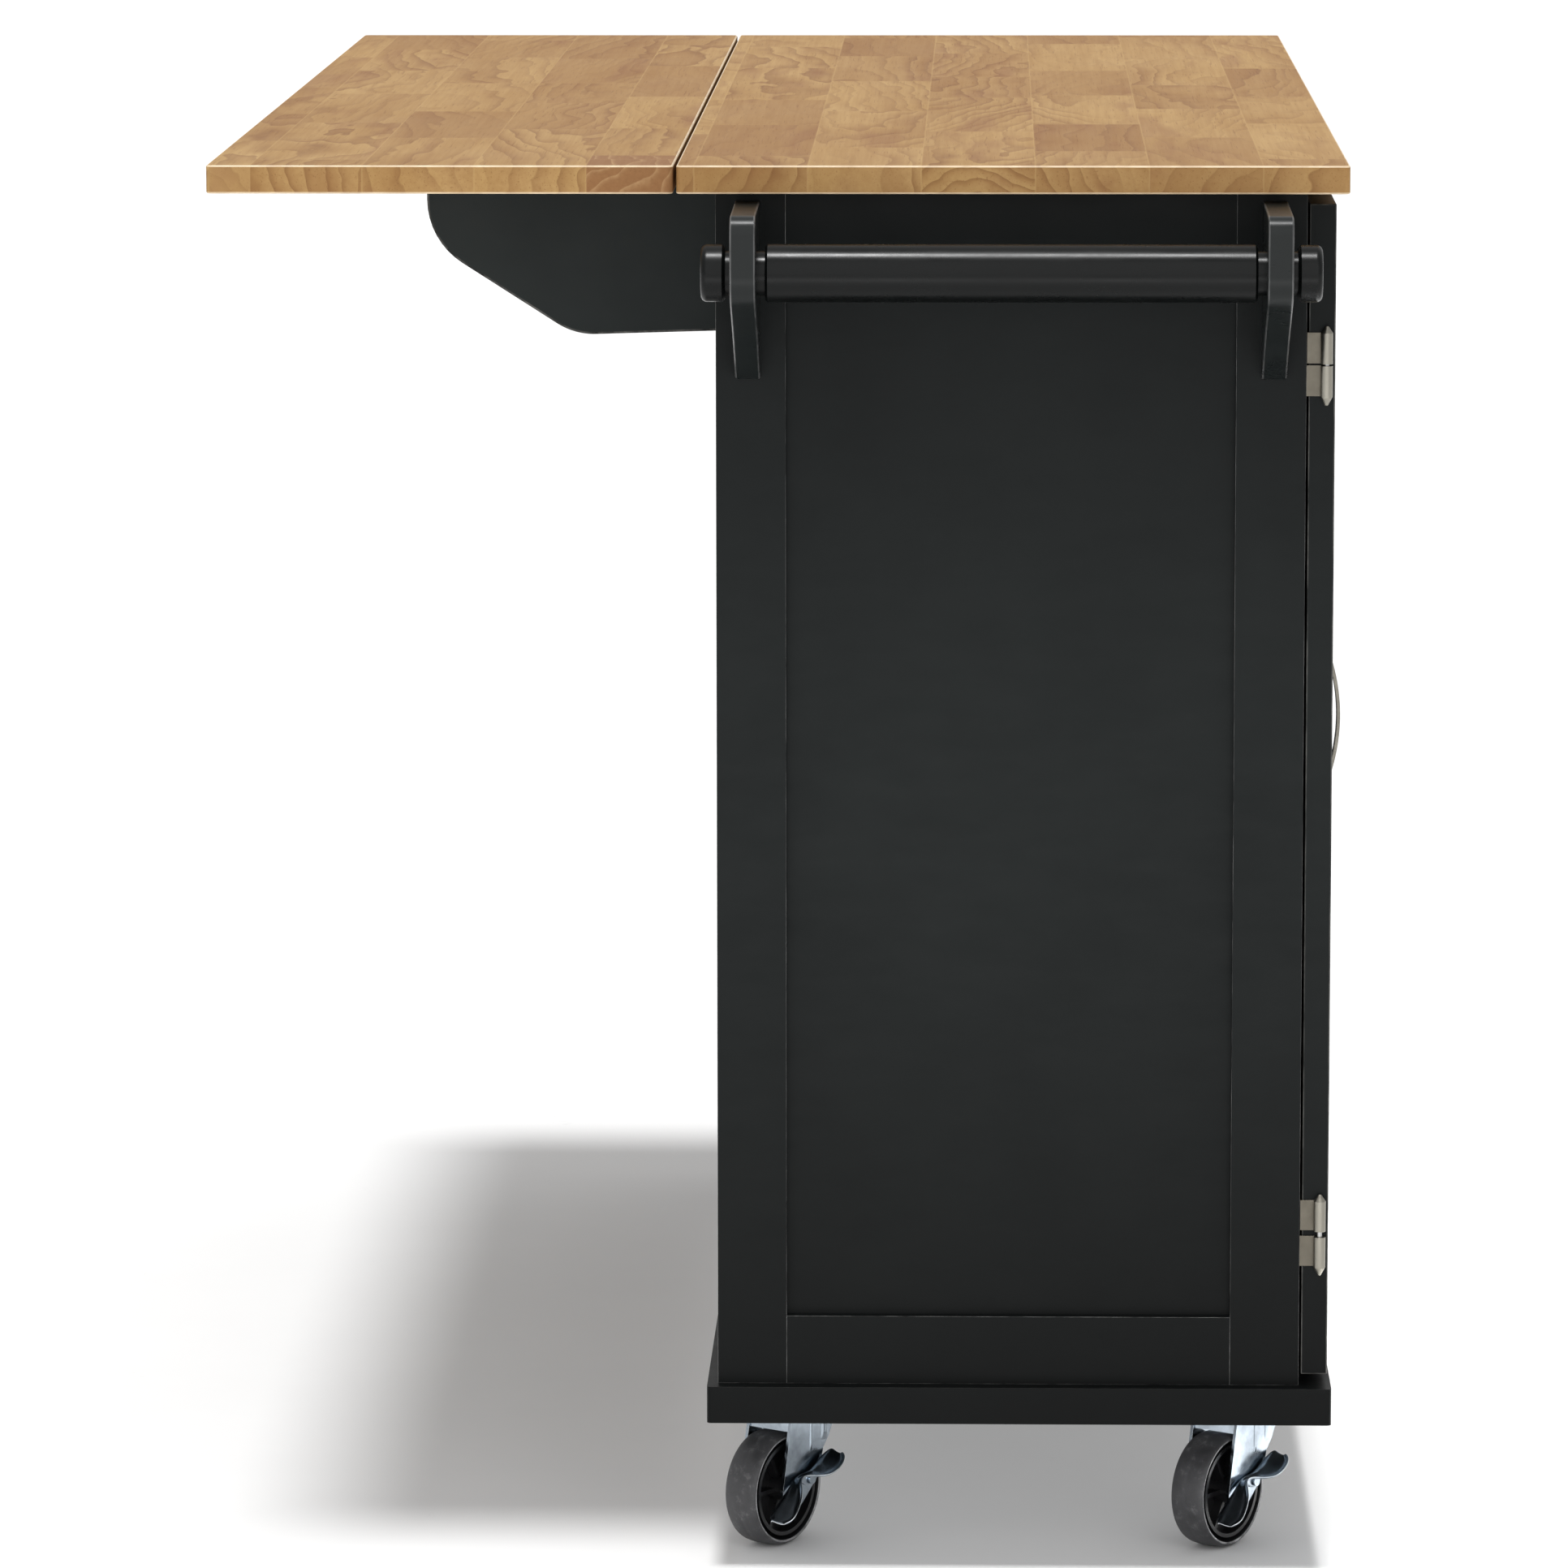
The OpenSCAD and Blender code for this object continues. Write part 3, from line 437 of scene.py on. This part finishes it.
def make_rocker(k):
    """Brake rocker of bent sheet: a raised tread, a lowered tread and a side plate on the pivot."""
    # along the trail, inner edge, its height, outer edge, its height, lower edge of the side plate
    stations = (
        (-12.0, 19.6, 59.0, 27.4, 57.0, 57.0), (-10.4, 19.2, 60.0, 31.4, 55.4, 55.0),
        (-5.5, 19.1, 60.4, 33.9, 52.0, 51.0), (1.0, 19.1, 58.4, 33.8, 48.2, 46.0),
        (7.0, 19.1, 54.8, 31.6, 45.6, 40.0), (12.0, 19.1, 51.0, 27.4, 45.4, 38.0),
        (17.0, 19.1, 49.0, 23.8, 46.2, 39.8), (22.0, 19.1, 48.4, 22.6, 46.6, 43.6),
        (27.0, 19.2, 47.6, 23.4, 45.6, 43.2), (31.0, 19.4, 45.6, 26.4, 43.6, 41.0),
        (36.0, 20.0, 41.8, 30.8, 39.8, 38.4), (41.0, 19.4, 37.0, 34.0, 35.2, 34.0),
        (46.0, 18.4, 32.2, 35.2, 30.4, 30.2), (50.5, 17.6, 28.0, 36.0, 26.2, 26.4),
        (54.0, 18.4, 24.8, 34.6, 23.4, 23.6), (56.0, 21.0, 23.2, 31.5, 22.2, 22.4))
    fold = 0.8                                   # inset of the fold above the side plate
    lip_out, lip_up = 0.7, 1.5                   # the treads' outer rim is turned up
    dished = ((0.35, -0.5), (0.7, -0.7))         # share of the tread's width, and its dip
    points = []
    for a, inner, inner_z, outer, outer_z, low in stations:
        deep = low < inner_z - 3                 # here the side plate hangs down
        points.append((a, inner, low))
        points.append((a, inner, min(low + 2.0, inner_z) if deep else inner_z - 1.0))
        points.append((a, inner + fold, inner_z))
        for share, dip in dished:
            points.append((a, inner + share * (outer - inner), inner_z + share * (outer_z - inner_z) + dip))
        points.append((a, outer, outer_z))
        points.append((a, outer + lip_out, outer_z + lip_up))
    columns = len(points) // len(stations)
    rocker = piece(f"caster_{k}_rocker", points, grid_faces(len(stations), columns), f"caster_{k}_brake",
                   zinc, caster_frame(k))
    sheet = rocker.modifiers.new("sheet", "SOLIDIFY")
    sheet.thickness = ROCKER_SHEET * MM
    sheet.offset = 0
    sheet.material_offset_rim = 1
    rocker.data.materials.append(zinc_edge)
    smooth = rocker.modifiers.new("smooth", "SUBSURF")
    smooth.levels = smooth.render_levels = 2
    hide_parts(f"caster_{k}_brake")


def make_tyre(k):
    """Tyre turned about the axle: crowned tread, thin rim line with a painted highlight and a dished side.
    """
    low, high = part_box(f"caster_{k}_tyre")
    wheel, axle = place_of(f"caster_{k}_roll")
    radius = (high.z - low.z) / 2
    # share of the radius, share of half the width
    outer = ((0.996, 0), (1.0, 0.06), (0.998, 0.28), (0.990, 0.55), (0.978, 0.78), (0.962, 0.90),
             (0.945, 0.96), (0.928, 0.992), (0.915, 1.0), (0.902, 0.992), (0.893, 0.96),
             (0.885, 0.86), (0.868, 0.62), (0.835, 0.46), (0.817, 0.42))
    tread_edge, dish_edge, rim_edge = 0.93, 0.90, 0.89       # where the materials change
    profile = [(share, -across) for share, across in reversed(outer[1:])] + list(outer)
    steps = 96
    up = Vector((0, 0, 1))
    side = axle.cross(up)
    points = []
    for step in range(steps):
        angle = 2 * math.pi * step / steps
        ray = up * math.cos(angle) + side * math.sin(angle)
        points += [wheel + ray * (share * radius) + axle * (across * WHEEL_HALF_WIDTH * MM)
                   for share, across in profile]
    count = len(profile)
    faces = []
    for step in range(steps):
        here, ahead = step * count, (step + 1) % steps * count
        faces += [(here + p, here + p + 1, ahead + p + 1, ahead + p) for p in range(count - 1)]
    tyre = piece(f"caster_{k}_tyre_turned", points, faces, f"caster_{k}_wheel", tyre_look)
    tyre.data.materials.append(rim_look)
    tyre.data.materials.append(hub_look)
    for face in tyre.data.polygons:
        place = face.index % (count - 1)
        near, far = sorted((profile[place][0], profile[place + 1][0]))
        if near > rim_edge and far < tread_edge:
            face.material_index = 1
        elif far < dish_edge:
            face.material_index = 2
    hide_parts(f"caster_{k}_tyre")


def make_ribs(k):
    """Pressed ribs down the outer faces of the fork's legs."""
    # middle along the trail, width, rise, lower and upper end
    ribs = ((8.6, 2.6, 0.8, 61, 83.4), (-5.5, 6, 1.3, 66, 83.4))
    rows, columns = 13, 9
    sunk = 0.1                                   # depth of a rib's root below the leg's face
    for side in (-1, 1):
        for rib, (middle, width, rise, foot, head) in enumerate(ribs):
            points = []
            for row in range(rows):
                share = row / (rows - 1)
                fade = min(1, share * 5)
                for column in range(columns):
                    angle = math.pi * column / (columns - 1)
                    points.append((middle + math.cos(angle) * width / 2,
                                   side * (FORK_HALF_WIDTH - sunk + math.sin(angle) * rise * fade),
                                   foot + (head - foot) * share))
            piece(f"caster_{k}_rib_{rib}_{'in' if side < 0 else 'out'}", points, grid_faces(rows, columns),
                  f"caster_{k}_fork", zinc, caster_frame(k))


make_camera()
make_light()

# ---------------------------------------------------------------- materials of the pieces
leaf_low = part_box("leaf_panel")[0]
top_joint = top_high.y - TOP_FIRST_STAVE
leaf_joint = leaf_low.y + LEAF_FIRST_STAVE - LEAF_STAVE
dark_end = leaf_low.x + DARK_BLOCK
wood_top = butcher_block("butcher_block_top", top_joint, TOP_STAVE, 3.1)
wood_top_edge = butcher_block("butcher_block_top_arris", top_joint, TOP_STAVE, 3.1, arris=True)
wood_leaf = butcher_block("butcher_block_leaf", leaf_joint, LEAF_STAVE, 41.7, dark_end=dark_end)
wood_leaf_edge = butcher_block("butcher_block_leaf_arris", leaf_joint, LEAF_STAVE, 41.7, arris=True)
paint = black_paint("black_paint")
# painted light: a lighter copy of the black paint for the wings
wing_paint_with_painted_light = black_paint("black_wing_paint", base=0.018)
# lighter arrises: wear together with a painted highlight
paint_edge = black_paint("black_paint_arris", wear_and_highlight=(0.13, 0.128, 0.12))
# painted highlight: bright lines on the side frames' arrises, with some wear
frame_edge = black_paint("black_frame_arris", wear_and_highlight=(0.46, 0.46, 0.45))
gloss_paint = black_paint("black_gloss_paint", gloss=0.27, base=0.0022, sheen=0.19, relief=0.00002)
# painted light: a lighter copy of the gloss paint for the brackets
bracket_paint_with_painted_light = black_paint("black_bracket_paint", gloss=0.30, base=0.008, sheen=0.24, relief=0.00003)
# painted highlight on the brackets' arrises, with some wear
gloss_edge = black_paint("black_gloss_arris", gloss=0.30, base=0.009, wear_and_highlight=(0.09, 0.09, 0.09), sheen=0.6)
nickel = metal("satin_nickel", (0.26, 0.245, 0.21), 0.28, 0.44)
door_axis = place_of("left_door_swing")[0]
# door hinge plating, with a painted highlight on the knuckles
hinge_look = metal("hinge_nickel", (0.148, 0.134, 0.108), 0.26, 0.42,
                   painted_knuckle_highlight=((0.29, 0.275, 0.235), abs(door_axis.x - MIDDLE), door_axis.y, KNUCKLE_REACH))
steel = metal("pin_steel", (0.55, 0.55, 0.54), 0.25, 0.4)
# the bluish tint is partly the plating's own and partly a painted reflection of the surroundings
zinc = metal("bright_zinc", (0.50, 0.57, 0.64), 0.10, 0.26, streak=(160, 160, 160), dull=0.45,
             relief=0.00012)
# painted highlight: a lighter zinc colour on the forks' and rockers' edges
zinc_edge = metal("bright_zinc_edge", (0.80, 0.84, 0.88), 0.14, 0.26, streak=(160, 160, 160))
tyre_look = rubber("tyre_rubber")
# painted highlight: the tyre's thin rim line is light and glossy
rim_look = black_paint("tyre_rim_line", gloss=0.24, base=0.03, wear_and_highlight=(0.34, 0.34, 0.35), sheen=0.9)
hub_look = moulded_plastic("hub_plastic")
box_look = drawer_board("drawer_board")

# ---------------------------------------------------------------- the pieces
soften("top_panel", wood_top, 0.0011, wood_top_edge, 3)
soften("leaf_panel", wood_leaf, 0.0011, wood_leaf_edge, 3)
soften("side_frames", paint, 0.0010, frame_edge)
for name in ("base_panel", "side_panels", "back_top_rail", "back_panel", "dividers",
             "front_stretchers", "shelves"):
    soften(name, paint, 0.0008, paint_edge)
for side in SIDES:
    soften(f"{side}_wing", wing_paint_with_painted_light, 0.0015, paint_edge, 3)
    soften(f"{side}_wing_hinge_plate", nickel, 0.0003)
    soften(f"{side}_door_frame", paint, 0.0008, paint_edge)
    soften(f"{side}_door_panel", paint, 0)
    soften(f"{side}_door_pull", nickel, 0.0004)
    soften(f"{side}_door_hinge_plates", hinge_look, 0.0002)
for k in DRAWERS:
    soften(f"drawer_{k}_front", paint, 0.0008, paint_edge)
    soften(f"drawer_{k}_box", box_look, 0.0006)
    soften(f"drawer_{k}_pull", nickel, 0.0004)
for k in CASTERS:
    soften(f"caster_{k}_fork", zinc, 0.0007, zinc_edge)
    soften(f"caster_{k}_hub", hub_look, 0.0004)
    make_tyre(k)
    make_ribs(k)
    make_rocker(k)
soften("towel_brackets", bracket_paint_with_painted_light, 0.0018, gloss_edge, 3)
soften("towel_bar", gloss_paint, 0)
soften("shelf_pins", steel, 0.0003)
soften("butt_hinge_fixed_plates", nickel, 0.0003)
soften("leaf_hinge_plates", nickel, 0.0003)
soften("door_hinge_fixed_plates", hinge_look, 0.0002)
soften("hinge_pins", steel, 0)
soften("caster_plates", zinc, 0.0004)
soften("caster_screws", zinc, 0.0003)
soften("drawer_runners", box_look, 0.0004)

bpy.ops.mesh.primitive_plane_add(size=80, location=(0, 0, 0))
floor = bpy.context.object
floor.name = "floor"
floor.data.materials.append(floor_look())
